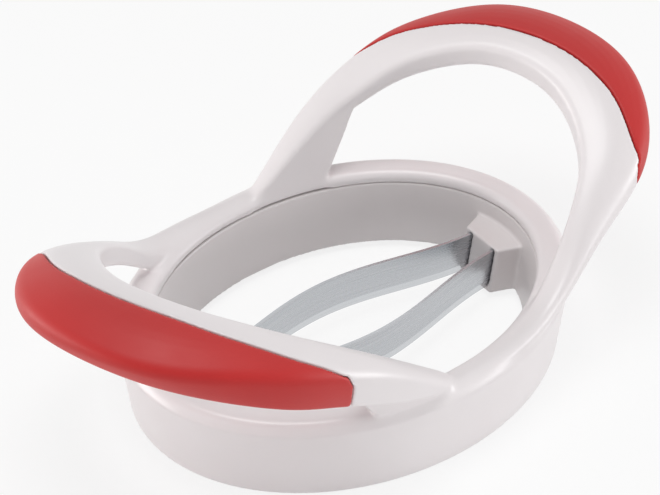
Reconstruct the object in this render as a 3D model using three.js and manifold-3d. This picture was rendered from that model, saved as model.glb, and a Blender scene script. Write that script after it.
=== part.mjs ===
// Mango slicer: an oval ring that is pushed down over the fruit by two raised loop handles.
// Two bowed blades cut a cheek from each side of the flat stone, which drops through between them.
// The origin is on the table at the middle of the ring, +X runs along the ring's long axis,
// +Z is up, and all sizes are in millimetres.
// The two handles are one shape, turned half round about the Z axis.
import * as THREE from 'three';
import { mergeVertices } from 'three/addons/utils/BufferGeometryUtils.js';
import Module from 'manifold-3d';

const wasm = await Module();
wasm.setup();

// Ring: outer sizes at the shoulder, and how far the skirt leans in from it down to the table
const ringLength = 127.6;
const ringWidth = 100.4;
const shoulderHeight = 21.2;
const skirtLeanEnds = 2.5;
const skirtLeanSides = 1.4;
const skirtWall = 2.4;

// Rim: its rise over the shoulder, its lean inward on the way up, its thickness and rounding, and the
// free space under it between the skirt's wall and the blade ring
const rimRise = 2.8;
const rimLean = 1.8;
const rimThickness = 3.4;
const rimRound = 1.5;
const ringSpace = 2.9;

// Snap bead inside the foot of the skirt, which holds the blade ring up
const beadDepth = 0.7;
const beadBottom = 0.6;
const beadHeight = 1;

// Handles: tip to tip over both, the height of the flat top edge at the tip, and the crown above it
const handleSpan = 184;
const handleHeight = 61.7;
const crownShare = 0.13;

// Soft grips: thickness of the overmoulding, how far it laps under the handle, how far down the wall
// its hidden face has turned, and the stretch of the border over which it tips round the edge
const gripDepth = 2.4;
const gripLapShare = 0.45;
const gripTurnShare = 0.3;
const gripCornerShare = 0.24;
const mitreLimitShare = 0.4;

// Blade ring: wall, inward taper from rim to table, locating flange, and end blocks for the blades
const bladeRingWall = 1.8;
const bladeRingTaper = 2.8;
const flangeHeight = 1.5;
const blockLength = 8;
const blockWidth = 19;
const blockNoseShare = 0.7;
const blockHeight = 14;

// Blades: strip height and thickness, ground edge, spacing at the ends and at the middle
const bladeHeight = 12;
const bladeThickness = 0.8;
const bevelHeight = 2.5;
const edgeThickness = 0.12;
const bladeEndSpacing = 9;
const bladeMiddleSpacing = 24;
const bladeSeat = 5;

// Clearance between separate pieces, and how far cutting shapes run past what they cut
const fitGap = 0.3;
const overrun = 6;
const rootOverlap = 0.5;

// Steps round the ring and over its rim, along a handle's two bare legs, along its grip, and along a blade
const ringSteps = 96;
const rimSteps = 3;
const slenderLegSteps = 12;
const broadLegSteps = 7;
const gripSteps = 40;
const rootSteps = 8;
const bladeSteps = 24;
const blockSteps = 6;
const crownSteps = 4;

const up = new THREE.Vector3(0, 0, 1);
const rimTop = shoulderHeight + rimRise;
const rimBottom = rimTop - rimThickness;
const handleRise = handleHeight - rimTop;
const shoulder = { x: ringLength / 2, y: ringWidth / 2 };
const base = { x: shoulder.x - skirtLeanEnds, y: shoulder.y - skirtLeanSides };
const rim = { x: shoulder.x - rimLean, y: shoulder.y - rimLean };
const ledge = skirtWall + bladeRingWall + ringSpace;
const opening = { x: rim.x - ledge, y: rim.y - ledge };
const flangeBottom = beadBottom + beadHeight + fitGap;

// Handle stations run from the root of the slender leg, over the tip, to the root of the broad leg.
// Each point is a share of half the handle span, of half the ring width, and of the rise over the rim.
const innerEdgeShares = [
  [-0.035, -0.885, -0.01],
  [0.228, -0.785, -0.01],
  [0.371, -0.7, 0.055],
  [0.529, -0.59, 0.44],
  [0.668, -0.385, 0.74],
  [0.737, 0, 0.95],
  [0.673, 0.39, 1],
  [0.514, 0.67, 0.855],
  [0.376, 0.77, 0.655],
  [0.247, 0.825, 0.445],
  [0.005, 0.84, -0.015],
];
const outerEdgeShares = [
  [-0.045, -0.965, 0],
  [0.218, -0.945, 0.02],
  [0.386, -0.86, 0.11],
  [0.584, -0.73, 0.41],
  [0.841, -0.572, 0.72],
  [1, -0.05, 0.95],
  [0.9, 0.642, 0.99],
  [0.611, 0.972, 0.865],
  [0.406, 1.03, 0.67],
  [0.237, 1.02, 0.43],
  [0.03, 0.96, -0.01],
];
const outerFootShares = [
  [-0.045, -0.965, -0.07],
  [0.218, -0.935, -0.07],
  [0.386, -0.84, -0.03],
  [0.584, -0.74, 0.255],
  [0.841, -0.572, 0.565],
  [1, -0.05, 0.8],
  [0.868, 0.603, 0.772],
  [0.599, 0.943, 0.535],
  [0.401, 0.985, 0.335],
  [0.237, 0.98, 0.125],
  [0.035, 0.955, -0.07],
];
const innerWallShares = [0.05, 0.05, 0.125, 0.175, 0.175, 0.165, 0.16, 0.155, 0.125, 0.095, 0.05];

// Border of the soft grip: station, then its place across the top face.
// A share of 0 is the inner edge, 1 is the outer edge, and past 1 it runs down the outer wall.
const gripBorderShares = [
  [3.7, 1.4],
  [3.8, 1],
  [3.92, 0.84],
  [4.1, 0.71],
  [4.5, 0.56],
  [5, 0.4],
  [6, 0.33],
  [6.6, 0.47],
  [7.2, 0.7],
  [7.65, 0.86],
  [7.9, 1.02],
  [8.02, 1.3],
];

// Where the finger gap ends and the broad leg's root closes down onto the rim, in stations,
// how high in the leg's two walls the root begins, and how deep in the rim it ends
const rootStart = 8.35;
const rootSlant = 0.6;
const rootInnerShare = 0.5;
const rootOuterShare = 0.3;
const rootSinkShare = 0.85;

function material(color, roughness, metalness) {
  return new THREE.MeshStandardMaterial({ color, roughness, metalness });
}

// Skins rows of points, all of one count, into a closed body: either a loop of rows or one with two ends.
function loft(rows, isLoop) {
  const count = rows[0].length;
  const positions = rows.flat().flatMap((point) => [point.x, point.y, point.z]);
  const index = [];
  const rowPairs = isLoop ? rows.length : rows.length - 1;
  for (let row = 0; row < rowPairs; row += 1) {
    const next = (row + 1) % rows.length;
    for (let side = 0; side < count; side += 1) {
      const a = row * count + side;
      const b = row * count + ((side + 1) % count);
      const c = next * count + ((side + 1) % count);
      const d = next * count + side;
      index.push(a, b, c, a, c, d);
    }
  }
  if (!isLoop) {
    const lastRow = (rows.length - 1) * count;
    for (const [a, b, c] of endTriangles(rows[0])) {
      index.push(c, b, a);
    }
    for (const [a, b, c] of endTriangles(rows[rows.length - 1])) {
      index.push(lastRow + a, lastRow + b, lastRow + c);
    }
  }
  const geometry = new THREE.BufferGeometry();
  geometry.setAttribute('position', new THREE.Float32BufferAttribute(positions, 3));
  geometry.setIndex(index);
  return facingOut(geometry);
}

// Triangles that close an end row, found on the row's own plane and wound the way the row runs.
function endTriangles(row) {
  const normal = new THREE.Vector3();
  row.forEach((point, side) => {
    normal.add(point.clone().cross(row[(side + 1) % row.length]));
  });
  const toPlane = new THREE.Quaternion().setFromUnitVectors(normal.normalize(), up);
  const flatPoints = row.map((point) => point.clone().applyQuaternion(toPlane));
  const contour = flatPoints.map((point) => new THREE.Vector2(point.x, point.y));
  return THREE.ShapeUtils.triangulateShape(contour, []);
}

// Turns every triangle over if the body's volume comes out negative.
function facingOut(geometry) {
  const position = geometry.getAttribute('position');
  const index = geometry.getIndex().array;
  const [a, b, c] = [new THREE.Vector3(), new THREE.Vector3(), new THREE.Vector3()];
  let volume = 0;
  for (let corner = 0; corner < index.length; corner += 3) {
    a.fromBufferAttribute(position, index[corner]);
    b.fromBufferAttribute(position, index[corner + 1]);
    c.fromBufferAttribute(position, index[corner + 2]);
    volume += a.dot(b.cross(c));
  }
  if (volume < 0) {
    for (let corner = 0; corner < index.length; corner += 3) {
      [index[corner], index[corner + 1]] = [index[corner + 1], index[corner]];
    }
  }
  return geometry;
}

function toSolid(geometry) {
  const plain = geometry.clone();
  plain.deleteAttribute('normal');
  plain.deleteAttribute('uv');
  const merged = mergeVertices(plain);
  const vertProperties = new Float32Array(merged.getAttribute('position').array);
  const triVerts = new Uint32Array(merged.getIndex().array);
  return new wasm.Manifold(new wasm.Mesh({ numProp: 3, vertProperties, triVerts }));
}

function toGeometry(solid) {
  const mesh = solid.getMesh();
  const geometry = new THREE.BufferGeometry();
  geometry.setAttribute('position', new THREE.Float32BufferAttribute(mesh.vertProperties, 3));
  geometry.setIndex(new THREE.Uint32BufferAttribute(mesh.triVerts, 1));
  geometry.computeVertexNormals();
  return geometry;
}

function turnedHalfRound(geometry) {
  return geometry.clone().rotateZ(Math.PI);
}

// Half sizes of the skirt's outer face at a height up to the shoulder, moved inward by an inset.
function skirtOval(height, inset) {
  const share = height / shoulderHeight;
  return {
    x: THREE.MathUtils.lerp(base.x, shoulder.x, share) - inset,
    y: THREE.MathUtils.lerp(base.y, shoulder.y, share) - inset,
    z: height,
  };
}

// Half sizes of the blade ring's inner face at a height, moved outward by an outset.
function bladeRingOval(height, outset) {
  const taper = bladeRingTaper * (1 - height / rimBottom);
  return { x: opening.x - taper + outset, y: opening.y - taper + outset, z: height };
}

// Half sizes of the leaning side of the rim at a height over the shoulder, moved inward by an inset.
function rimOval(height, inset) {
  const share = (height - shoulderHeight) / rimRise;
  return {
    x: THREE.MathUtils.lerp(shoulder.x, rim.x, share) - inset,
    y: THREE.MathUtils.lerp(shoulder.y, rim.y, share) - inset,
    z: height,
  };
}

function openingOval(height, outset) {
  return { x: opening.x + outset, y: opening.y + outset, z: height };
}

function ovalPoint(oval, angle) {
  return new THREE.Vector3(oval.x * Math.cos(angle), oval.y * Math.sin(angle), oval.z);
}

// A closed ring whose section is a list of ovals.
function ovalRing(ovals) {
  const rows = [];
  for (let step = 0; step < ringSteps; step += 1) {
    const angle = (step / ringSteps) * 2 * Math.PI;
    rows.push(ovals.map((oval) => ovalPoint(oval, angle)));
  }
  return loft(rows, true);
}

function ringBody() {
  const beadTop = beadBottom + beadHeight;
  const outerRound = [];
  const innerRound = [];
  for (let step = 0; step <= rimSteps; step += 1) {
    const angle = (step / rimSteps) * (Math.PI / 2);
    const height = rimTop - rimRound * (1 - Math.sin(angle));
    const inset = rimRound * (1 - Math.cos(angle));
    outerRound.push(rimOval(height, inset));
    innerRound.unshift(openingOval(height, inset));
  }
  return ovalRing([
    skirtOval(0, 0),
    skirtOval(shoulderHeight, 0),
    ...outerRound,
    ...innerRound,
    openingOval(rimBottom, 0),
    skirtOval(rimBottom, skirtWall),
    skirtOval(beadTop, skirtWall),
    skirtOval(beadTop, skirtWall + beadDepth),
    skirtOval(beadBottom, skirtWall + beadDepth),
    skirtOval(0, skirtWall),
  ]);
}

function placeShares([x, y, z]) {
  return new THREE.Vector3(
    (x * handleSpan) / 2,
    (y * ringWidth) / 2,
    rimTop + z * handleRise,
  );
}

const innerEdge = innerEdgeShares.map(placeShares);
const innerFoot = innerEdge.map((point, station) => (
  point.clone().addScaledVector(up, -innerWallShares[station] * handleRise)
));
const rails = {
  inner: new THREE.CatmullRomCurve3(innerEdge),
  outer: new THREE.CatmullRomCurve3(outerEdgeShares.map(placeShares)),
  outerFoot: new THREE.CatmullRomCurve3(outerFootShares.map(placeShares)),
  innerFoot: new THREE.CatmullRomCurve3(innerFoot),
};
const lastStation = innerEdgeShares.length - 1;

// The handle's four edges at a station, and the level direction from the inner edge to the outer one.
function sectionAt(station) {
  const along = THREE.MathUtils.clamp(station / lastStation, 0, 1);
  const section = {};
  for (const [name, rail] of Object.entries(rails)) {
    section[name] = rail.getPoint(along);
  }
  section.outward = section.outer.clone().sub(section.inner).setZ(0).normalize();
  return section;
}

// A point on the crowned top face, at a share of the way from the inner edge to the outer one.
function crownPoint(section, share) {
  const rise = crownShare * section.inner.distanceTo(section.outer);
  const point = section.inner.clone().lerp(section.outer, share);
  return point.addScaledVector(up, rise * 4 * share * (1 - share));
}

// The grip's border as evenly spread places: a station and a place across the top face.
function gripBorder() {
  const points = gripBorderShares.map(([station, across]) => new THREE.Vector3(station, across, 0));
  return new THREE.CatmullRomCurve3(points).getPoints(gripSteps);
}

// Stations of the handle's sections, which are the border's own ones along the grip.
function handleStations() {
  const gripStations = gripBorder().map((place) => place.x);
  const gripEnd = gripStations[gripSteps];
  const stations = [];
  for (let step = 0; step < slenderLegSteps; step += 1) {
    stations.push((gripStations[0] * step) / slenderLegSteps);
  }
  stations.push(...gripStations);
  for (let step = 1; step <= broadLegSteps; step += 1) {
    stations.push(THREE.MathUtils.lerp(gripEnd, lastStation, step / broadLegSteps));
  }
  return stations;
}

function handleBody() {
  const rows = handleStations().map((station) => {
    const section = sectionAt(station);
    const row = [section.innerFoot];
    for (let crownStep = 0; crownStep <= crownSteps; crownStep += 1) {
      row.push(crownPoint(section, crownStep / crownSteps));
    }
    row.push(section.outerFoot);
    return row;
  });
  return loft(rows, false);
}

// The closed root of the broad leg, from inside the handle down into the rim.
function rootBody() {
  const rows = [];
  const insideRim = rimTop - rimThickness * rootSinkShare;
  const rimFoot = { ...rimOval(rimTop, rimRound), z: insideRim };
  for (let step = 0; step <= rootSteps; step += 1) {
    const share = step / rootSteps;
    const station = THREE.MathUtils.lerp(rootStart, lastStation, share);
    const section = sectionAt(station);
    const below = sectionAt(station + rootSlant * (1 - share));
    const angle = Math.atan2(below.outerFoot.y / rim.y, below.outerFoot.x / rim.x);
    const outerTop = section.outerFoot.clone().lerp(section.outer, rootOuterShare);
    rows.push([
      section.innerFoot.clone().lerp(section.inner, rootInnerShare),
      outerTop.addScaledVector(section.outward, -rootOverlap),
      ovalPoint(rimFoot, angle),
      ovalPoint(openingOval(insideRim, rootOverlap), angle),
    ]);
  }
  return loft(rows, false);
}

// Moves a path sideways in the plane of the outward and up directions, with mitred corners.
function shiftSideways(path, outward, distance) {
  const normals = path.slice(1).map((point, side) => {
    const step = point.clone().sub(path[side]);
    const run = step.dot(outward);
    const length = Math.hypot(run, step.z);
    return { outward: step.z / length, up: -run / length };
  });
  return path.map((point, corner) => {
    const before = normals[Math.max(corner - 1, 0)];
    const after = normals[Math.min(corner, normals.length - 1)];
    const openness = 1 + before.outward * after.outward + before.up * after.up;
    const reach = distance / Math.max(openness, mitreLimitShare);
    return point.clone()
      .addScaledVector(outward, (before.outward + after.outward) * reach)
      .addScaledVector(up, (before.up + after.up) * reach);
  });
}

// The space the soft grip takes out of a handle, grown on its hidden faces by a clearance.
function gripSpace(clearance) {
  const endShift = (clearance / rails.outer.getLength()) * lastStation;
  const border = gripBorder();
  border[0].x -= endShift;
  border[border.length - 1].x += endShift;
  const rows = border.map((place) => {
    const section = sectionAt(place.x);
    const { outer, outerFoot, innerFoot, outward } = section;
    const wallPoint = outer.clone().lerp(outerFoot, Math.max(place.y - 1, 0));
    const lip = place.y < 1 ? crownPoint(section, place.y) : wallPoint;
    const turned = THREE.MathUtils.clamp(0.5 + (place.y - 1) / gripCornerShare, 0, 1);
    const facing = up.clone().lerp(outward, turned).normalize();
    const turnIn = Math.min(gripDepth, (wallPoint.z - outerFoot.z) * gripTurnShare);
    const lap = outerFoot.clone().lerp(innerFoot, gripLapShare);
    const hiddenPath = [
      lip.clone().addScaledVector(facing, overrun),
      lip.clone().addScaledVector(facing, -gripDepth),
      wallPoint.clone().addScaledVector(outward, -gripDepth).addScaledVector(up, -turnIn),
      outerFoot.clone().addScaledVector(outward, -gripDepth).addScaledVector(up, turnIn),
      lap.clone().addScaledVector(up, gripDepth),
      lap.clone().addScaledVector(up, -overrun),
    ];
    return [
      ...shiftSideways(hiddenPath, outward, clearance),
      outerFoot.clone().addScaledVector(outward, 2 * overrun).addScaledVector(up, -overrun),
      outer.clone().addScaledVector(outward, 2 * overrun).addScaledVector(up, overrun),
    ];
  });
  return loft(rows, false);
}

function buildFrame() {
  const core = toSolid(handleBody()).subtract(toSolid(gripSpace(fitGap)));
  const leftCore = toSolid(turnedHalfRound(toGeometry(core)));
  const solid = toSolid(ringBody())
    .add(core)
    .add(toSolid(rootBody()))
    .add(leftCore)
    .add(toSolid(turnedHalfRound(rootBody())));
  return toGeometry(solid);
}

function buildGrip() {
  return toGeometry(toSolid(handleBody()).intersect(toSolid(gripSpace(0))));
}

// How far a blade's middle plane lies from the ring's long axis.
const bladeReach = opening.x - bladeRingTaper - blockLength + bladeSeat;
const bladeBottom = flangeBottom + (blockHeight - bladeHeight) / 2;

function bladeOffset(x) {
  const share = Math.min(Math.abs(x) / bladeReach, 1);
  const bow = (bladeMiddleSpacing - bladeEndSpacing) / 2;
  return bladeEndSpacing / 2 + bow * Math.cos((share * Math.PI) / 2) ** 2;
}

// A blade strip along the front of the stone, grown on every face by a clearance.
function bladeBody(clearance) {
  const rows = [];
  const half = bladeThickness / 2 + clearance;
  const edge = edgeThickness / 2 + clearance;
  const bottom = bladeBottom - clearance;
  const reach = bladeReach + clearance;
  for (let step = 0; step <= bladeSteps; step += 1) {
    const x = THREE.MathUtils.lerp(-reach, reach, step / bladeSteps);
    const y = -bladeOffset(x);
    const top = bladeBottom + bladeHeight + clearance;
    rows.push([
      new THREE.Vector3(x, y - half, top),
      new THREE.Vector3(x, y + half, top),
      new THREE.Vector3(x, y + half, bottom + bevelHeight),
      new THREE.Vector3(x, y + edge, bottom),
      new THREE.Vector3(x, y - edge, bottom),
      new THREE.Vector3(x, y - half, bottom + bevelHeight),
    ]);
  }
  return loft(rows, false);
}

// Block inside the right end of the blade ring, which holds one end of both blades.
function endBlock() {
  const heights = [flangeBottom, flangeBottom + blockHeight];
  const rows = heights.map((height) => {
    const wallMiddle = bladeRingOval(height, bladeRingWall / 2);
    const noseX = bladeRingOval(height, 0).x - blockLength;
    const noseY = (blockWidth / 2) * blockNoseShare;
    const spread = Math.asin(blockWidth / 2 / wallMiddle.y);
    const row = [new THREE.Vector3(noseX, noseY, height), new THREE.Vector3(noseX, -noseY, height)];
    for (let step = 0; step <= blockSteps; step += 1) {
      row.push(ovalPoint(wallMiddle, THREE.MathUtils.lerp(-spread, spread, step / blockSteps)));
    }
    return row;
  });
  return loft(rows, false);
}

function buildBladeRing() {
  const top = rimBottom - fitGap;
  const flangeTop = flangeBottom + flangeHeight;
  const wall = ovalRing([
    bladeRingOval(top, 0),
    bladeRingOval(flangeBottom, 0),
    skirtOval(flangeBottom, skirtWall + fitGap),
    skirtOval(flangeTop, skirtWall + fitGap),
    bladeRingOval(flangeTop, bladeRingWall),
    bladeRingOval(top, bladeRingWall),
  ]);
  const pocket = bladeBody(fitGap);
  const solid = toSolid(wall)
    .add(toSolid(endBlock()))
    .add(toSolid(turnedHalfRound(endBlock())))
    .subtract(toSolid(pocket))
    .subtract(toSolid(turnedHalfRound(pocket)));
  return toGeometry(solid);
}

const whitePlastic = material(0xe6e2e3, 0.35, 0);
const ringPlastic = material(0xdedada, 0.4, 0);
const redSoftPlastic = material(0xc23a38, 0.6, 0);
const steel = material(0xc4c8cc, 0.25, 1);

function named(name, geometry, finish, isTurned) {
  const mesh = new THREE.Mesh(geometry, finish);
  mesh.name = name;
  mesh.rotation.z = isTurned ? Math.PI : 0;
  return mesh;
}

const gripGeometry = buildGrip();
const bladeGeometry = bladeBody(0);

const slicer = new THREE.Group();
const bladeUnit = new THREE.Group();
bladeUnit.add(
  named('blade_ring', buildBladeRing(), ringPlastic, false),
  named('front_blade', bladeGeometry, steel, false),
  named('rear_blade', bladeGeometry, steel, true),
);
slicer.add(
  named('frame', buildFrame(), whitePlastic, false),
  named('right_grip', gripGeometry, redSoftPlastic, false),
  named('left_grip', gripGeometry, redSoftPlastic, true),
  bladeUnit,
);

export default slicer;
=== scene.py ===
import math

import bpy
import numpy as np
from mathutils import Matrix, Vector
from mathutils.bvhtree import BVHTree


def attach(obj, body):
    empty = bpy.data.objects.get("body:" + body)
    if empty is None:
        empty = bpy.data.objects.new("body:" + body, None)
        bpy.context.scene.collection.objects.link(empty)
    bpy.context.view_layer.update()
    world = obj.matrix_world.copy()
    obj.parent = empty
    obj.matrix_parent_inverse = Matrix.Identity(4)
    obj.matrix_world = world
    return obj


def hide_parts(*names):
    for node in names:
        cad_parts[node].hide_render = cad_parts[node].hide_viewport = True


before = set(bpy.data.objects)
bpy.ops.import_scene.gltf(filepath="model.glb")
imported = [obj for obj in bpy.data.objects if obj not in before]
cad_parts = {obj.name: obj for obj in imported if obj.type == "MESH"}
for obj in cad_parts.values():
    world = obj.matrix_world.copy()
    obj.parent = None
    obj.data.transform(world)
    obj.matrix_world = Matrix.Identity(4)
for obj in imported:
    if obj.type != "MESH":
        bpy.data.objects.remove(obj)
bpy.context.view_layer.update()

# Everything is modelled in millimetres. This is one of them in Blender's metres, to which each piece
# is scaled when it is finished.
mm = 0.001


# Small helpers for meshes

def makeThing(name, vertices, faces):
    mesh = bpy.data.meshes.new(name)
    mesh.from_pydata([tuple(point) for point in vertices], [], faces)
    mesh.update()
    thing = bpy.data.objects.new(name, mesh)
    bpy.context.scene.collection.objects.link(thing)
    return thing


def skin(name, rows, isLoop):
    # rows is a stack of closed outlines, all with the same number of points. In a loop the last one
    # joins the first, and otherwise both ends are closed by a face.
    rowCount, sideCount = rows.shape[:2]
    faces = []
    for row in range(rowCount if isLoop else rowCount - 1):
        here, there = row * sideCount, (row + 1) % rowCount * sideCount
        for side in range(sideCount):
            after = (side + 1) % sideCount
            faces.append((here + side, here + after, there + after, there + side))
    if not isLoop:
        faces.append(tuple(reversed(range(sideCount))))
        faces.append(tuple(range((rowCount - 1) * sideCount, rowCount * sideCount)))
    thing = makeThing(name, rows.reshape(-1, 3), faces)
    turnOutward(thing.data)
    return thing


def turnOutward(mesh):
    points = pointsOf(mesh)
    volume = 0.0
    for face in mesh.polygons:
        corners = points[list(face.vertices)]
        for second, third in zip(corners[1:-1], corners[2:]):
            volume += np.dot(corners[0], np.cross(second, third))
    if volume < 0:
        mesh.flip_normals()


def pointsOf(mesh):
    flat = np.empty(len(mesh.vertices) * 3)
    mesh.vertices.foreach_get("co", flat)
    return flat.reshape(-1, 3)


def setPoints(mesh, points):
    mesh.vertices.foreach_set("co", points.ravel())
    mesh.update()


def applyModifiers(thing):
    graph = bpy.context.evaluated_depsgraph_get()
    made = bpy.data.meshes.new_from_object(thing.evaluated_get(graph), depsgraph=graph)
    old = thing.data
    thing.modifiers.clear()
    thing.data = made
    bpy.data.meshes.remove(old)


def discard(thing):
    mesh = thing.data
    bpy.data.objects.remove(thing)
    bpy.data.meshes.remove(mesh)


def cutOrJoin(thing, other, operation):
    step = thing.modifiers.new("boolean", "BOOLEAN")
    step.operation = operation
    step.solver = "EXACT"
    step.object = other
    applyModifiers(thing)


def copyOf(thing, name):
    twin = bpy.data.objects.new(name, thing.data.copy())
    bpy.context.scene.collection.objects.link(twin)
    return twin


def halfTurned(thing, name):
    # the tool is alike after half a turn about its upright axis, so each far piece is a turned near one
    twin = copyOf(thing, name)
    setPoints(twin.data, pointsOf(twin.data) * (-1, -1, 1))
    return twin


def joined(name, things):
    # one mesh in place of the things, which are deleted
    vertices, faces, count = [], [], 0
    for thing in things:
        vertices.append(pointsOf(thing.data))
        faces += [tuple(corner + count for corner in face.vertices) for face in thing.data.polygons]
        count += len(thing.data.vertices)
        discard(thing)
    return makeThing(name, np.concatenate(vertices), faces)


def remesh(thing, voxel):
    step = thing.modifiers.new("voxels", "REMESH")
    step.mode = "VOXEL"
    step.voxel_size = voxel
    applyModifiers(thing)


def soften(thing, passes, share, weights=None):
    step = thing.modifiers.new("soften", "SMOOTH")
    step.iterations = passes
    step.factor = share
    if weights is not None:
        group = thing.vertex_groups.new(name="softened")
        for index in np.nonzero(weights > 0)[0]:
            group.add([int(index)], float(weights[index]), "REPLACE")
        step.vertex_group = group.name
    applyModifiers(thing)
    thing.vertex_groups.clear()


def distancesTo(points, other):
    tree = BVHTree.FromPolygons(
        [tuple(point) for point in pointsOf(other.data)],
        [tuple(face.vertices) for face in other.data.polygons],
    )
    return np.array([tree.find_nearest(Vector(point))[3] for point in points])


# Smooth curve through given points, then evened out so that no kink is left at a point
def smoothCurve(points, stepsPerPoint, evenSteps):
    points = np.array(points, float)
    ends = [2 * points[0] - points[1]], [2 * points[-1] - points[-2]]
    spread = np.concatenate([ends[0], points, ends[1]])
    knots = np.concatenate([[0], np.cumsum(np.sqrt(np.linalg.norm(np.diff(spread, axis=0), axis=1)))])
    samples = []
    for index in range(1, len(points)):
        p0, p1, p2, p3 = spread[index - 1:index + 3]
        t0, t1, t2, t3 = knots[index - 1:index + 3]
        leave = (t2 - t1) * ((p1 - p0) / (t1 - t0) - (p2 - p0) / (t2 - t0) + (p2 - p1) / (t2 - t1))
        arrive = (t2 - t1) * ((p2 - p1) / (t2 - t1) - (p3 - p1) / (t3 - t1) + (p3 - p2) / (t3 - t2))
        for step in range(stepsPerPoint):
            s = step / stepsPerPoint
            samples.append(
                (2 * s**3 - 3 * s**2 + 1) * p1 + (s**3 - 2 * s**2 + s) * leave
                + (3 * s**2 - 2 * s**3) * p2 + (s**3 - s**2) * arrive
            )
    samples.append(points[-1])
    return evened(np.array(samples), evenSteps)


def evened(values, evenSteps):
    reach = int(3 * evenSteps)  # past three of its widths the bell curve is next to nothing
    before = 2 * values[0] - values[reach:0:-1]
    after = 2 * values[-1] - values[-2:-reach - 2:-1]
    spread = np.concatenate([before, values, after])
    places = np.arange(-reach, reach + 1)
    weights = np.exp(-places**2 / (2 * evenSteps**2))
    weights /= weights.sum()
    columns = [np.convolve(spread[:, axis], weights, "valid") for axis in range(values.shape[1])]
    return np.stack(columns, 1)


# Small helpers for materials

def linear(hexColor):
    parts = [int(hexColor[place:place + 2], 16) / 255 for place in (1, 3, 5)]
    return tuple(c / 12.92 if c <= 0.04045 else ((c + 0.055) / 1.055) ** 2.4 for c in parts) + (1,)


def addNode(tree, kind, settings=None, links=None):
    node = tree.nodes.new(kind)
    for name, value in (settings or {}).items():
        if isinstance(name, str) and hasattr(node, name):
            setattr(node, name, value)
        else:
            node.inputs[name].default_value = value
    for name, source in (links or {}).items():
        tree.links.new(source, node.inputs[name])
    return node


def newMaterial(name):
    material = bpy.data.materials.new(name)
    material.use_nodes = True
    material.node_tree.nodes.clear()
    return material, material.node_tree


def cloudedPlastic(tree, look):
    # what both moulded plastics share: slow clouds of a second colour, and gloss in patches
    place = addNode(tree, "ShaderNodeTexCoord").outputs["Object"]
    clouds = addNode(tree, "ShaderNodeTexNoise",
                     {"Scale": 1 / (look["cloudSize"] * mm), "Detail": look["cloudDetail"]},
                     {"Vector": place})
    color = addNode(tree, "ShaderNodeMix",
                    {"data_type": "RGBA", 6: linear(look["color"]), 7: linear(look["cloudColor"])},
                    {0: clouds.outputs["Fac"]})
    gloss = addNode(tree, "ShaderNodeTexNoise",
                    {"Scale": 1 / (look["glossPatchSize"] * mm), "Detail": look["glossDetail"]},
                    {"Vector": place})
    roughness = addNode(tree, "ShaderNodeMapRange",
                        {"To Min": look["roughness"][0], "To Max": look["roughness"][1]},
                        {"Value": gloss.outputs["Fac"]})
    return place, color.outputs[2], roughness.outputs["Result"]


# ABS, injection moulded in a satin tool: even white with soft reflections, faint flow clouding, shallow
# waves from shrinkage, and a fine even grain that breaks the highlights up
absPlastic = {
    "color": "#E9E4E5",
    "cloudColor": "#E2DCDD",
    "cloudSize": 26,
    "cloudDetail": 2,
    "roughness": (0.27, 0.36),
    "glossPatchSize": 9,
    "glossDetail": 3,
    "grainSize": 0.5,  # real grain is about 0.05 mm, drawn ten times as coarse so that it shows
    "grainDetail": 1,
    "grainDepth": 0.004,
    "sinkSize": 14,
    "sinkDetail": 0,
    "sinkDepth": 0.02,
    "ior": 1.53,
}


def absMaterial(name, look):
    material, tree = newMaterial(name)
    place, color, roughness = cloudedPlastic(tree, look)
    grain = addNode(tree, "ShaderNodeTexNoise",
                    {"Scale": 1 / (look["grainSize"] * mm), "Detail": look["grainDetail"]},
                    {"Vector": place})
    sink = addNode(tree, "ShaderNodeTexNoise",
                   {"Scale": 1 / (look["sinkSize"] * mm), "Detail": look["sinkDetail"]},
                   {"Vector": place})
    waves = addNode(tree, "ShaderNodeBump", {"Distance": look["sinkDepth"] * mm},
                    {"Height": sink.outputs["Fac"]})
    bumps = addNode(tree, "ShaderNodeBump", {"Distance": look["grainDepth"] * mm},
                    {"Height": grain.outputs["Fac"], "Normal": waves.outputs["Normal"]})
    shader = addNode(tree, "ShaderNodeBsdfPrincipled", {"IOR": look["ior"]},
                     {"Base Color": color, "Roughness": roughness, "Normal": bumps.outputs["Normal"]})
    addNode(tree, "ShaderNodeOutputMaterial", {}, {"Surface": shader.outputs["BSDF"]})
    return material


# Thermoplastic elastomer, moulded over the ABS and left matt: deep red with faint clouds, a soft broad
# sheen without sharp glints, and a fine pebbled grain
elastomer = {
    "color": "#BE2524",
    "cloudColor": "#B42020",
    "cloudSize": 18,
    "cloudDetail": 2,
    "roughness": (0.46, 0.56),
    "glossPatchSize": 6,
    "glossDetail": 3,
    "grainSize": 0.55,  # real grain is about 0.1 mm, drawn coarser so that it shows
    "grainDepth": 0.012,
    "sheen": 0.2,
    "sheenRoughness": 0.5,
    "sheenTint": "#FFC6C0",
    "specularLevel": 0.4,
    "ior": 1.5,
}


def elastomerMaterial(name, look):
    material, tree = newMaterial(name)
    place, color, roughness = cloudedPlastic(tree, look)
    grain = addNode(tree, "ShaderNodeTexVoronoi",
                    {"Scale": 1 / (look["grainSize"] * mm)}, {"Vector": place})
    bumps = addNode(tree, "ShaderNodeBump", {"Distance": look["grainDepth"] * mm},
                    {"Height": grain.outputs["Distance"]})
    shader = addNode(tree, "ShaderNodeBsdfPrincipled",
                     {"IOR": look["ior"], "Specular IOR Level": look["specularLevel"],
                      "Sheen Weight": look["sheen"], "Sheen Roughness": look["sheenRoughness"],
                      "Sheen Tint": linear(look["sheenTint"])},
                     {"Base Color": color, "Roughness": roughness, "Normal": bumps.outputs["Normal"]})
    addNode(tree, "ShaderNodeOutputMaterial", {}, {"Surface": shader.outputs["BSDF"]})
    return material


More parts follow.
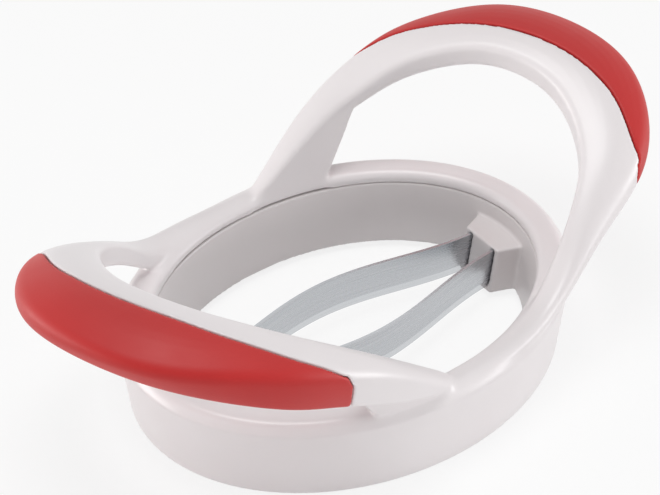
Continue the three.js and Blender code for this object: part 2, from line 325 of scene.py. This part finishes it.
# Stainless steel, rolled strip brushed along its length: fine lines that stretch the reflections upright
stainless = {
    "color": "#C9CBCE",
    "lineColor": "#B4B7BB",
    "lineSpacing": 0.35,  # real brush lines are about 0.1 mm apart, drawn coarser so that they show
    "lineLength": 30,
    "lineDetail": 3,
    "lineDepth": 0.004,
    "roughness": (0.2, 0.34),
}


def stainlessMaterial(name, look):
    material, tree = newMaterial(name)
    place = addNode(tree, "ShaderNodeTexCoord").outputs["Object"]
    across = 1 / (look["lineSpacing"] * mm)
    along = 1 / (look["lineLength"] * mm)
    stretched = addNode(tree, "ShaderNodeMapping", {"Scale": (along, along, across)}, {"Vector": place})
    lines = addNode(tree, "ShaderNodeTexNoise", {"Scale": 1, "Detail": look["lineDetail"]},
                    {"Vector": stretched.outputs["Vector"]})
    color = addNode(tree, "ShaderNodeMix",
                    {"data_type": "RGBA", 6: linear(look["color"]), 7: linear(look["lineColor"])},
                    {0: lines.outputs["Fac"]})
    roughness = addNode(tree, "ShaderNodeMapRange",
                        {"To Min": look["roughness"][0], "To Max": look["roughness"][1]},
                        {"Value": lines.outputs["Fac"]})
    bumps = addNode(tree, "ShaderNodeBump", {"Distance": look["lineDepth"] * mm},
                    {"Height": lines.outputs["Fac"]})
    shader = addNode(tree, "ShaderNodeBsdfPrincipled", {"Metallic": 1},
                     {"Base Color": color.outputs[2], "Roughness": roughness.outputs["Result"],
                      "Normal": bumps.outputs["Normal"]})
    addNode(tree, "ShaderNodeOutputMaterial", {}, {"Surface": shader.outputs["BSDF"]})
    return material


# The blade ring is the same ABS, less glossy, and a shade greyer as painted shade for the inside of the
# ring, where the skirt shades it. The cutting edges are the same steel, ground finer and so lighter and
# glossier than the brushed sides.
shadedRingLook = dict(absPlastic, color="#E2DDDD", cloudColor="#DBD5D5", roughness=(0.32, 0.42))
edgeLook = dict(stainless, color="#D8DADC", lineColor="#C6C9CD", roughness=(0.14, 0.24), lineSpacing=0.2)
mouldedAbs = absMaterial("mouldedWhiteAbs", absPlastic)
shadedRingAbs = absMaterial("shadedInsideRingAbs", shadedRingLook)
redElastomer = elastomerMaterial("softRedElastomer", elastomer)
brushedSteel = stainlessMaterial("brushedStainless", stainless)
groundSteel = stainlessMaterial("groundStainlessEdge", edgeLook)
print("materials made")


# Ring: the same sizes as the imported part, with soft edges. The skirt widens up to the shoulder, and
# the rim leans in above it to a broad flat ledge.
ring = {
    "base": (61.3, 48.8),
    "shoulder": (63.8, 50.2),
    "shoulderHeight": 21.2,
    "rim": (62.0, 48.4),
    "top": 24.0,
    "opening": (54.9, 41.3),
    "wall": 2.4,
    "rimThickness": 3.4,
    "outerRound": 1.3,
    "innerRound": 2.2,
    "footRound": 0.5,
    "beadDepth": 0.7,
    "beadBottom": 0.6,
    "beadHeight": 1.0,
    "steps": 288,
    "roundSteps": 7,
}


def skirtHalf(height):
    share = height / ring["shoulderHeight"]
    return [base + (top - base) * share for base, top in zip(ring["base"], ring["shoulder"])]


def rimHalf(height):
    share = (height - ring["shoulderHeight"]) / (ring["top"] - ring["shoulderHeight"])
    return [low + (top - low) * share for low, top in zip(ring["shoulder"], ring["rim"])]


def openingHalf(height):
    return ring["opening"]  # the same at every height


def edgeRound(halfAt, radius, side):
    # points of a quarter arc that rounds an upper edge, as (half length, half width, height);
    # side is 1 for an outer edge, from below to the top, and -1 for an inner one, from the top down
    points = []
    for step in range(ring["roundSteps"] + 1):
        angle = step / ring["roundSteps"] * math.pi / 2
        height = ring["top"] - radius * (1 - math.sin(angle))
        half, inset = halfAt(height), side * radius * (1 - math.cos(angle))
        points.append((half[0] - inset, half[1] - inset, height))
    return points[::side]


def ovalRows(profile, steps):
    angles = np.arange(steps) / steps * 2 * math.pi
    rows = [[(x * math.cos(angle), y * math.sin(angle), z) for x, y, z in profile] for angle in angles]
    return np.array(rows)


def ringBody():
    shoulder, foot = ring["shoulderHeight"], ring["footRound"]
    lip, beadTop = ring["top"] - ring["rimThickness"], ring["beadBottom"] + ring["beadHeight"]
    footOuter = skirtHalf(0)

    def inside(height, inset):
        half = skirtHalf(height)
        return (half[0] - inset, half[1] - inset, height)

    wall, bead = ring["wall"], ring["wall"] + ring["beadDepth"]
    profile = [(footOuter[0] - foot, footOuter[1] - foot, 0), (*skirtHalf(foot), foot)]
    profile += [(*skirtHalf(shoulder), shoulder)]
    profile += edgeRound(rimHalf, ring["outerRound"], 1)
    profile += edgeRound(openingHalf, ring["innerRound"], -1)
    profile += [(*ring["opening"], lip), inside(lip, wall), inside(beadTop, wall), inside(beadTop, bead)]
    profile += [inside(ring["beadBottom"], bead), inside(0, wall)]
    return skin("ring", ovalRows(profile, ring["steps"]), True)


# Handle: stations run from the slender leg's root over the tip to the broad leg's root. Each point is
# a share of half the span, of half the ring's width, and of the handle's rise over the rim.
handle = {
    "span": 184,
    "height": 61.7,
    "crown": 0.13,
    "innerEdge": [(-0.035, -0.885, -0.01), (0.228, -0.785, -0.01), (0.371, -0.7, 0.055),
                  (0.529, -0.59, 0.44), (0.668, -0.385, 0.74), (0.737, 0, 0.95), (0.673, 0.39, 1),
                  (0.514, 0.67, 0.855), (0.376, 0.77, 0.655), (0.247, 0.825, 0.445),
                  (0.005, 0.84, -0.015)],
    "outerEdge": [(-0.045, -0.965, 0), (0.218, -0.945, 0.02), (0.386, -0.86, 0.11),
                  (0.584, -0.73, 0.41), (0.841, -0.572, 0.72), (1, -0.05, 0.95),
                  (0.9, 0.642, 0.99), (0.611, 0.972, 0.865), (0.406, 1.03, 0.67),
                  (0.237, 1.02, 0.43), (0.03, 0.96, -0.01)],
    "outerFoot": [(-0.045, -0.965, -0.07), (0.218, -0.935, -0.07), (0.386, -0.84, -0.03),
                  (0.584, -0.74, 0.255), (0.841, -0.572, 0.565), (1, -0.05, 0.8),
                  (0.868, 0.603, 0.772), (0.599, 0.943, 0.535), (0.401, 0.985, 0.335),
                  (0.237, 0.98, 0.125), (0.035, 0.955, -0.07)],
    "innerWall": [0.05, 0.05, 0.125, 0.175, 0.175, 0.165, 0.16, 0.155, 0.125, 0.095, 0.05],
    "stepsPerStation": 24,
    "evenSteps": 5,
    "rounds": {"inner": 1.6, "outer": 2.4, "outerFoot": 2.2, "innerFoot": 1.6},
    "cornerLimit": 0.45,  # most of a short edge that one rounded corner may take
    "wallBulge": 0.05,
    "edgeSteps": 8,
    "cornerSteps": 6,
}
handleRise = handle["height"] - ring["top"]


def placed(share):
    x, y, z = share
    return (x * handle["span"] / 2, y * ring["shoulder"][1], ring["top"] + z * handleRise)


def handleRails():
    inner = [placed(share) for share in handle["innerEdge"]]
    innerFoot = [(x, y, z - wall * handleRise) for (x, y, z), wall in zip(inner, handle["innerWall"])]
    edges = {
        "inner": inner,
        "outer": [placed(share) for share in handle["outerEdge"]],
        "outerFoot": [placed(share) for share in handle["outerFoot"]],
        "innerFoot": innerFoot,
    }
    steps, even = handle["stepsPerStation"], handle["evenSteps"]
    return {name: smoothCurve(points, steps, even) for name, points in edges.items()}


rails = handleRails()
stationCount = len(handle["innerEdge"]) - 1


def sectionAt(station):
    place = min(max(station, 0), stationCount) * handle["stepsPerStation"]
    low = min(int(place), stationCount * handle["stepsPerStation"] - 1)
    share = place - low
    section = {name: rail[low] * (1 - share) + rail[low + 1] * share for name, rail in rails.items()}
    outward = (section["outer"] - section["inner"]) * (1, 1, 0)
    section["outward"] = outward / np.linalg.norm(outward)
    return section


def topPoint(section, share):
    inner, outer = section["inner"], section["outer"]
    rise = handle["crown"] * np.linalg.norm(outer - inner)
    return inner + (outer - inner) * share + np.array((0, 0, rise * 4 * share * (1 - share)))


def wallPoint(section, share):
    outer, foot = section["outer"], section["outerFoot"]
    bulge = handle["wallBulge"] * np.linalg.norm(outer - foot)
    return outer + (foot - outer) * share + section["outward"] * bulge * 4 * share * (1 - share)


def sectionOutline(section):
    # four edges, with a curved corner between each two
    def straight(start, end):
        return lambda share: section[start] + (section[end] - section[start]) * share

    def cornerShare(corner, edge):
        # how much of an edge its rounded corner takes
        return min(handle["rounds"][corner] / np.linalg.norm(edge(1) - edge(0)), handle["cornerLimit"])

    edges = {
        "inner": lambda share: topPoint(section, share),
        "outer": lambda share: wallPoint(section, share),
        "outerFoot": straight("outerFoot", "innerFoot"),
        "innerFoot": straight("innerFoot", "inner"),
    }
    names = list(edges)
    points = []
    for name, following in zip(names, names[1:] + names[:1]):
        edge, nextEdge = edges[name], edges[following]
        start, end = cornerShare(name, edge), 1 - cornerShare(following, edge)
        run = [edge(start + (end - start) * step / handle["edgeSteps"])
               for step in range(handle["edgeSteps"] + 1)]
        landing = nextEdge(cornerShare(following, nextEdge))
        corner = edge(1)
        points += run
        for step in range(1, handle["cornerSteps"]):
            t = step / handle["cornerSteps"]
            points.append((1 - t)**2 * run[-1] + 2 * t * (1 - t) * corner + t**2 * landing)
    return points


def handleBody():
    count = stationCount * handle["stepsPerStation"]
    rows = [sectionOutline(sectionAt(step / handle["stepsPerStation"])) for step in range(count + 1)]
    return skin("handle", np.array(rows), False)


# Root of the broad leg, from inside the leg down into the rim, flush with the skirt outside
root = {
    "start": 8.12,
    "slant": 0.6,
    "innerShare": 0.5,
    "outerShare": 0.3,
    "sink": 2.9,
    "inset": 0.25,
    "steps": 24,
}


def rootBody():
    rows = []
    bottom = ring["top"] - root["sink"]
    outerHalf = [half - ring["outerRound"] for half in ring["rim"]]
    for step in range(root["steps"] + 1):
        share = step / root["steps"]
        station = root["start"] + (stationCount - root["start"]) * share
        section = sectionAt(station)
        below = sectionAt(station + root["slant"] * (1 - share))["outerFoot"]
        angle = math.atan2(below[1] / ring["rim"][1], below[0] / ring["rim"][0])
        side, front = math.cos(angle), math.sin(angle)
        outerTop = section["outerFoot"] + (section["outer"] - section["outerFoot"]) * root["outerShare"]
        innerTop = section["innerFoot"] + (section["inner"] - section["innerFoot"]) * root["innerShare"]
        inset = root["inset"]
        rows.append([
            innerTop,
            outerTop - section["outward"] * inset,
            (outerHalf[0] * side, outerHalf[1] * front, bottom),
            ((ring["opening"][0] + inset) * side, (ring["opening"][1] + inset) * front, bottom),
        ])
    return skin("root", np.array(rows), False)


# Soft grip: its border runs from station to station, at a place across the top where 0 is the inner
# edge, 1 is the outer edge, and past 1 it runs down the outer wall
grip = {
    "border": [(3.7, 1.4), (3.8, 1), (3.92, 0.84), (4.1, 0.71), (4.5, 0.56), (5, 0.4), (6, 0.33),
               (6.6, 0.47), (7.2, 0.7), (7.65, 0.86), (7.9, 1.02), (8.02, 1.3)],
    "depth": 2.4,
    "lap": 0.45,
    "turn": 0.3,
    "corner": 0.24,
    "groove": 0.3,
    "past": 6,
    "stepsPerPoint": 10,
    "evenSteps": 2,
    "mitreLimit": 0.4,
}


def shiftedPath(path, outward, distance):
    # moves a path sideways in the section's plane, with mitred corners
    normals = []
    for here, there in zip(path[:-1], path[1:]):
        run, rise = np.dot(there - here, outward), there[2] - here[2]
        length = math.hypot(run, rise)
        normals.append(np.array((rise / length, -run / length)))
    moved = []
    for index, point in enumerate(path):
        before, after = normals[max(index - 1, 0)], normals[min(index, len(normals) - 1)]
        reach = distance / max(1 + np.dot(before, after), grip["mitreLimit"])
        side, rise = (before + after) * reach
        moved.append(point + outward * side + np.array((0, 0, rise)))
    return moved


def gripSpace(clearance):
    # the room of a grip, which reaches well past the handle, so that it can cut or be cut
    border = smoothCurve(grip["border"], grip["stepsPerPoint"], grip["evenSteps"])
    railLength = np.linalg.norm(np.diff(rails["outer"], axis=0), axis=1).sum()
    border[0][0] -= clearance / railLength * stationCount
    border[-1][0] += clearance / railLength * stationCount
    up = np.array((0.0, 0.0, 1.0))
    rows = []
    for station, across in border:
        section = sectionAt(station)
        outward, foot = section["outward"], section["outerFoot"]
        wall = wallPoint(section, max(across - 1, 0))
        lip = topPoint(section, across) if across < 1 else wall
        # 0 on the top, 1 on the outer wall, and half way between them at the edge
        turned = min(max(0.5 + (across - 1) / grip["corner"], 0), 1)
        facing = up * (1 - turned) + outward * turned
        facing = facing / np.linalg.norm(facing)
        turnIn = min(grip["depth"], (wall[2] - foot[2]) * grip["turn"])
        lap = foot + (section["innerFoot"] - foot) * grip["lap"]
        path = [
            lip + facing * grip["past"],
            lip - facing * grip["depth"],
            wall - outward * grip["depth"] - up * turnIn,
            foot - outward * grip["depth"] + up * turnIn,
            lap + up * grip["depth"],
            lap - up * grip["past"],
        ]
        path = shiftedPath(path, outward, clearance)
        path.append(foot + outward * 2 * grip["past"] - up * grip["past"])
        path.append(section["outer"] + outward * 2 * grip["past"] + up * grip["past"])
        rows.append(path)
    return skin("gripSpace", np.array(rows), False)


# Each moulding is remeshed evenly and smoothed. The frame is smoothed more within a fillet's reach of
# where its bodies meet, which blends the legs into the rim.
meshing = {
    "frameVoxel": 0.36,
    "gripVoxel": 0.33,
    "bladeRingVoxel": 0.4,
    "evenPasses": 12,
    "bladeRingPasses": 5,
    "evenShare": 0.5,
    "filletReach": 2.6,
    "filletFullness": 1.4,  # over 1, so that the smoothing is already full a little before the joint
    "filletPasses": 70,
    "filletShare": 0.6,
}


def finishPiece(thing, name, body, node, material):
    thing.name = name
    thing.data.name = name
    setPoints(thing.data, pointsOf(thing.data) * mm)
    for face in thing.data.polygons:
        face.use_smooth = True
    thing.data.materials.clear()
    thing.data.materials.append(material)
    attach(thing, body)
    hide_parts(node)


def buildFrame():
    ringThing, rootThing, core = ringBody(), rootBody(), handleBody()
    space = gripSpace(grip["groove"])
    cutOrJoin(core, space, "DIFFERENCE")
    discard(space)
    leftCore = halfTurned(core, "leftCore")
    leftRoot = halfTurned(rootThing, "leftRoot")
    guides = [copyOf(ringThing, "ringGuide"),
              joined("rightGuide", [copyOf(core, "a"), copyOf(rootThing, "b")]),
              joined("leftGuide", [copyOf(leftCore, "a"), copyOf(leftRoot, "b")])]
    body = joined("frameBody", [ringThing, rootThing, core, leftCore, leftRoot])
    remesh(body, meshing["frameVoxel"])
    soften(body, meshing["evenPasses"], meshing["evenShare"])
    points = pointsOf(body.data)
    # the second nearest body is near only where two of them meet
    secondNearest = np.sort([distancesTo(points, guide) for guide in guides], axis=0)[1]
    full = meshing["filletFullness"]
    weights = np.clip(full - secondNearest / meshing["filletReach"] * full, 0, 1)
    soften(body, meshing["filletPasses"], meshing["filletShare"], weights)
    for guide in guides:
        discard(guide)
    return body


def buildGrip():
    body = handleBody()
    space = gripSpace(0)
    cutOrJoin(body, space, "INTERSECT")
    discard(space)
    remesh(body, meshing["gripVoxel"])
    soften(body, meshing["evenPasses"], meshing["evenShare"])
    return body


frameMoulding = buildFrame()
finishPiece(frameMoulding, "frameMoulding", "root", "frame", mouldedAbs)
print("frame moulding made:", len(frameMoulding.data.vertices), "points")

rightGrip = buildGrip()
leftGrip = halfTurned(rightGrip, "leftGrip")
finishPiece(rightGrip, "rightSoftGrip", "root", "right_grip", redElastomer)
finishPiece(leftGrip, "leftSoftGrip", "root", "left_grip", redElastomer)
print("soft grips made:", len(rightGrip.data.vertices), "points each")


# Blade ring inside the skirt, with an end block at each end for the blades
bladeRing = {
    "wall": 1.8,
    "taper": 2.8,
    "flange": 1.5,
    "gap": 0.3,
    "seam": 0.05,  # thin joint left open between this ring and the rim above it
    "blockLength": 8,
    "blockWidth": 19,
    "blockNose": 0.7,
    "blockHeight": 14,
    "blockSteps": 12,
}
blade = {
    "height": 12,
    "thickness": 0.8,
    "bevel": 2.5,
    "edge": 0.12,
    "endSpacing": 9,
    "middleSpacing": 24,
    "seat": 5,
    "pocketGap": 0.3,
    "steps": 120,
}
lipBottom = ring["top"] - ring["rimThickness"]
flangeBottom = ring["beadBottom"] + ring["beadHeight"] + bladeRing["gap"]
bladeReach = ring["opening"][0] - bladeRing["taper"] - bladeRing["blockLength"] + blade["seat"]
bladeBottom = flangeBottom + (bladeRing["blockHeight"] - blade["height"]) / 2


def bladeRingHalf(height, outset):
    taper = bladeRing["taper"] * (1 - height / lipBottom)
    return (ring["opening"][0] - taper + outset, ring["opening"][1] - taper + outset, height)


def bladeOffset(x):
    share = min(abs(x) / bladeReach, 1)
    bow = (blade["middleSpacing"] - blade["endSpacing"]) / 2
    return blade["endSpacing"] / 2 + bow * math.cos(share * math.pi / 2) ** 2


def bladeBody(name, clearance):
    half, edge = blade["thickness"] / 2 + clearance, blade["edge"] / 2 + clearance
    bottom, reach = bladeBottom - clearance, bladeReach + clearance
    top, bevel = bladeBottom + blade["height"] + clearance, bladeBottom - clearance + blade["bevel"]
    rows = []
    for step in range(blade["steps"] + 1):
        x = -reach + 2 * reach * step / blade["steps"]
        y = -bladeOffset(x)
        rows.append([(x, y - half, top), (x, y + half, top), (x, y + half, bevel),
                     (x, y + edge, bottom), (x, y - edge, bottom), (x, y - half, bevel)])
    return skin(name, np.array(rows), False)


def endBlock():
    rows = []
    for height in (flangeBottom, flangeBottom + bladeRing["blockHeight"]):
        middle = bladeRingHalf(height, bladeRing["wall"] / 2)
        noseX = bladeRingHalf(height, 0)[0] - bladeRing["blockLength"]
        noseY = bladeRing["blockWidth"] / 2 * bladeRing["blockNose"]
        spread = math.asin(bladeRing["blockWidth"] / 2 / middle[1])
        row = [(noseX, noseY, height), (noseX, -noseY, height)]
        for step in range(bladeRing["blockSteps"] + 1):
            angle = -spread + 2 * spread * step / bladeRing["blockSteps"]
            row.append((middle[0] * math.cos(angle), middle[1] * math.sin(angle), height))
        rows.append(row)
    return skin("endBlock", np.array(rows), False)


def buildBladeRing():
    top, flangeTop = lipBottom - bladeRing["seam"], flangeBottom + bladeRing["flange"]

    def skirtInside(height):
        half, inset = skirtHalf(height), ring["wall"] + bladeRing["gap"]
        return (half[0] - inset, half[1] - inset, height)

    profile = [bladeRingHalf(top, 0), bladeRingHalf(flangeBottom, 0), skirtInside(flangeBottom),
               skirtInside(flangeTop), bladeRingHalf(flangeTop, bladeRing["wall"]),
               bladeRingHalf(top, bladeRing["wall"])]
    body = skin("bladeRing", ovalRows(profile, ring["steps"]), True)
    block, pocket = endBlock(), bladeBody("pocket", blade["pocketGap"])
    for shape, operation in ((block, "UNION"), (pocket, "DIFFERENCE")):
        for part in (shape, halfTurned(shape, "turned")):
            cutOrJoin(body, part, operation)
            discard(part)
    remesh(body, meshing["bladeRingVoxel"])
    soften(body, meshing["bladeRingPasses"], meshing["evenShare"])
    return body


bladeCarrier = buildBladeRing()
# the greyer ABS on this ring is painted shade for the inside of the skirt
finishPiece(bladeCarrier, "bladeCarrierRing", "root", "blade_ring", shadedRingAbs)
print("blade ring made:", len(bladeCarrier.data.vertices), "points")


def finishBlade(thing, name, node):
    finishPiece(thing, name, "root", node, brushedSteel)
    thing.data.materials.append(groundSteel)
    for face in thing.data.polygons:
        face.use_smooth = False
        if face.center.z < (bladeBottom + blade["bevel"]) * mm:
            face.material_index = 1


frontBlade = bladeBody("frontBlade", 0)
rearBlade = halfTurned(frontBlade, "rearBlade")
finishBlade(frontBlade, "frontBladeStrip", "front_blade")
finishBlade(rearBlade, "rearBladeStrip", "rear_blade")
print("blades made")


# Stage: a pale floor that partly glows by itself, so that it looks white but keeps the shadow, and a
# sky that looks white and lights the pieces at its lower level
stage = {
    "floorSize": 6000,
    "floorDrop": 0.05,
    "floorColor": "#F4F4F4",
    "ownLight": 0.82,
    "skyLevel": 0.33,
    "skyColor": "#FFFFFF",
}


def whiteSeen(tree):
    # 1 for the rays that show the stage itself, straight, mirrored or through a piece, and 0 for the
    # rays that only light the pieces
    rays = addNode(tree, "ShaderNodeLightPath")
    seen = addNode(tree, "ShaderNodeMath", {"operation": "MAXIMUM"},
                   {0: rays.outputs["Is Camera Ray"], 1: rays.outputs["Is Glossy Ray"]})
    seen = addNode(tree, "ShaderNodeMath", {"operation": "MAXIMUM"},
                   {0: seen.outputs[0], 1: rays.outputs["Is Transmission Ray"]})
    return seen.outputs[0]


def buildFloor():
    half, z = stage["floorSize"] / 2 * mm, -stage["floorDrop"] * mm
    floor = makeThing("floor", [(-half, -half, z), (half, -half, z), (half, half, z), (-half, half, z)],
                      [(0, 1, 2, 3)])
    material, tree = newMaterial("paleFloor")
    share = addNode(tree, "ShaderNodeMath", {"operation": "MULTIPLY", 1: stage["ownLight"]},
                    {0: whiteSeen(tree)})
    matt = addNode(tree, "ShaderNodeBsdfDiffuse", {"Color": linear(stage["floorColor"])})
    glow = addNode(tree, "ShaderNodeEmission", {"Color": linear(stage["skyColor"]), "Strength": 1})
    mix = addNode(tree, "ShaderNodeMixShader", {},
                  {0: share.outputs[0], 1: matt.outputs[0], 2: glow.outputs[0]})
    addNode(tree, "ShaderNodeOutputMaterial", {}, {"Surface": mix.outputs[0]})
    floor.data.materials.append(material)


def buildSky():
    world = bpy.data.worlds.new("softTent")
    bpy.context.scene.world = world
    world.use_nodes = True
    tree = world.node_tree
    tree.nodes.clear()
    level = addNode(tree, "ShaderNodeMapRange", {"To Min": stage["skyLevel"], "To Max": 1},
                    {"Value": whiteSeen(tree)})
    sky = addNode(tree, "ShaderNodeBackground", {"Color": linear(stage["skyColor"])},
                  {"Strength": level.outputs["Result"]})
    addNode(tree, "ShaderNodeOutputWorld", {}, {"Surface": sky.outputs[0]})


# Lamps: place, size and power of each soft panel, all aimed at the ring. A panel that isn't mirrored
# lights the pieces, but shows in no reflection.
lamps = {
    "rightPanel": {"place": (560, -420, 130), "size": (460, 240), "power": 1.85, "color": "#FFFFFF",
                   "mirrored": True},
    "leftPanel": {"place": (-560, 420, 70), "size": (560, 130), "power": 2.1, "color": "#FFFDFB",
                  "mirrored": True},
    "frontPanel": {"place": (-420, -560, 60), "size": (560, 110), "power": 1.05, "color": "#FFFFFF",
                   "mirrored": False},
    "topPanel": {"place": (-40, 30, 740), "size": (380, 380), "power": 2.5, "color": "#FFFFFF",
                 "mirrored": True},
}
aimPoint = (0, 0, 25)


def buildLamps():
    for name, settings in lamps.items():
        light = bpy.data.lights.new(name, "AREA")
        light.shape = "RECTANGLE"
        light.size, light.size_y = settings["size"][0] * mm, settings["size"][1] * mm
        light.energy = settings["power"]
        light.color = linear(settings["color"])[:3]
        lamp = bpy.data.objects.new(name, light)
        bpy.context.scene.collection.objects.link(lamp)
        lamp.visible_glossy = settings["mirrored"]
        place, aim = Vector(settings["place"]) * mm, Vector(aimPoint) * mm
        lamp.location = place
        lamp.rotation_euler = (aim - place).to_track_quat("-Z", "Y").to_euler()


# Camera: where the photograph was taken from, found by fitting the ring and both handles to it
camera = {
    "place": (-266.37, -347.90, 393.36),
    "azimuth": -36.87,
    "elevation": 39.24,
    "lens": 120,
    "sensor": 36,
    "clip": (10, 20000),
}


def buildCamera():
    data = bpy.data.cameras.new("photoCamera")
    data.lens = camera["lens"]
    data.sensor_width = camera["sensor"]
    data.clip_start, data.clip_end = (distance * mm for distance in camera["clip"])
    eye = bpy.data.objects.new("photoCamera", data)
    bpy.context.scene.collection.objects.link(eye)
    eye.location = Vector(camera["place"]) * mm
    eye.rotation_euler = (math.radians(90 - camera["elevation"]), 0, math.radians(camera["azimuth"]))
    bpy.context.scene.camera = eye


buildFloor()
buildSky()
buildLamps()
buildCamera()
bpy.context.scene.view_settings.view_transform = "Standard"
print("stage, lamps and camera made")
